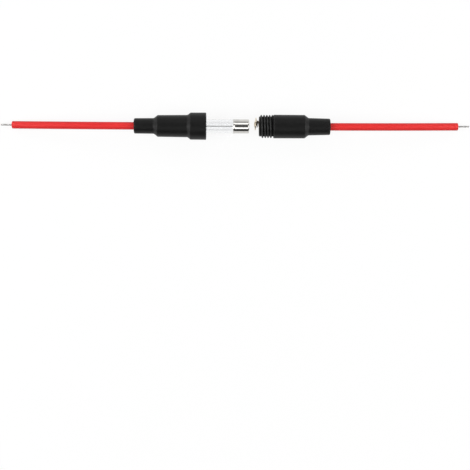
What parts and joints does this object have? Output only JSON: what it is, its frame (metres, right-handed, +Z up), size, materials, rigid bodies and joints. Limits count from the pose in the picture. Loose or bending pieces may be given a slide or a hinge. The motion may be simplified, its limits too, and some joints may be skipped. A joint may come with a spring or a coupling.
{
  "type": "inline fuse holder",
  "caption": "Inline holder for a cartridge glass fuse: a cap half and a threaded half, pulled apart, each with a lead and a bare wire end, with the fuse and a sprung contact between them.",
  "frame": {"origin": "on the table, midway between the ends of the two boots and under the common axis", "axes": "+X along the axis from the cap half to the threaded half, +Z up from the table"},
  "size_m": [0.2116, 0.0122, 0.0121],
  "materials": {
    "shell_plastic": "semi-gloss moulded",
    "lead_plastic": "satin extruded",
    "conductor_metal": "tinned and twisted",
    "ferrule_metal": "bright plated",
    "fuse_glass_clear": "clear",
    "element_metal": "bare wire",
    "solder_metal": "dull solder",
    "contact_brass": "pale brass",
    "spring_metal": "bronzed wire"
  },
  "bodies": {
    "threaded_half": {"threaded_shell": "shell_plastic", "spring_terminal": "contact_brass", "contact_spring": "spring_metal", "rear_lead_insulation": "lead_plastic", "rear_lead_conductor": "conductor_metal"},
    "contact": {"contact_disc": "contact_brass"},
    "cap_lead": {"cap_terminal": "contact_brass", "cap_lead_insulation": "lead_plastic", "cap_lead_conductor": "conductor_metal"},
    "cap": {"cap_shell": "shell_plastic"},
    "fuse": {"fuse_glass": "fuse_glass_clear", "fuse_ferrule_left": "ferrule_metal", "fuse_ferrule_right": "ferrule_metal", "fuse_solder_left": "solder_metal", "fuse_solder_right": "solder_metal", "fuse_element": "element_metal"}
  },
  "joints": [
    {"name": "cap_turn", "type": "hinge", "parent": "cap_lead", "child": "cap", "pos_m": [-0.0277, 0, 0.00607], "axis": [1, 0, 0], "range_deg": [0, 8640]},
    {"name": "cap_advance", "type": "slide", "parent": "threaded_half", "child": "cap_lead", "axis": [1, 0, 0], "range_m": [0, 0.03]},
    {"name": "fuse_seat", "type": "slide", "parent": "cap_lead", "child": "fuse", "axis": [-1, 0, 0], "range_m": [0, 0.0107]},
    {"name": "contact_press", "type": "slide", "parent": "threaded_half", "child": "contact", "axis": [0.9978, -0.0669, 0], "range_m": [0, 0.01719], "deforming": ["contact_spring"]}
  ],
  "couplings": [
    {"joint": "cap_turn", "follows": "cap_advance", "rad_per_m": 5026.5},
    {"joint": "fuse_seat", "follows": "cap_advance", "ratio": 0.35666},
    {"joint": "contact_press", "follows": "cap_advance", "ratio": 0.57294}
  ]
}
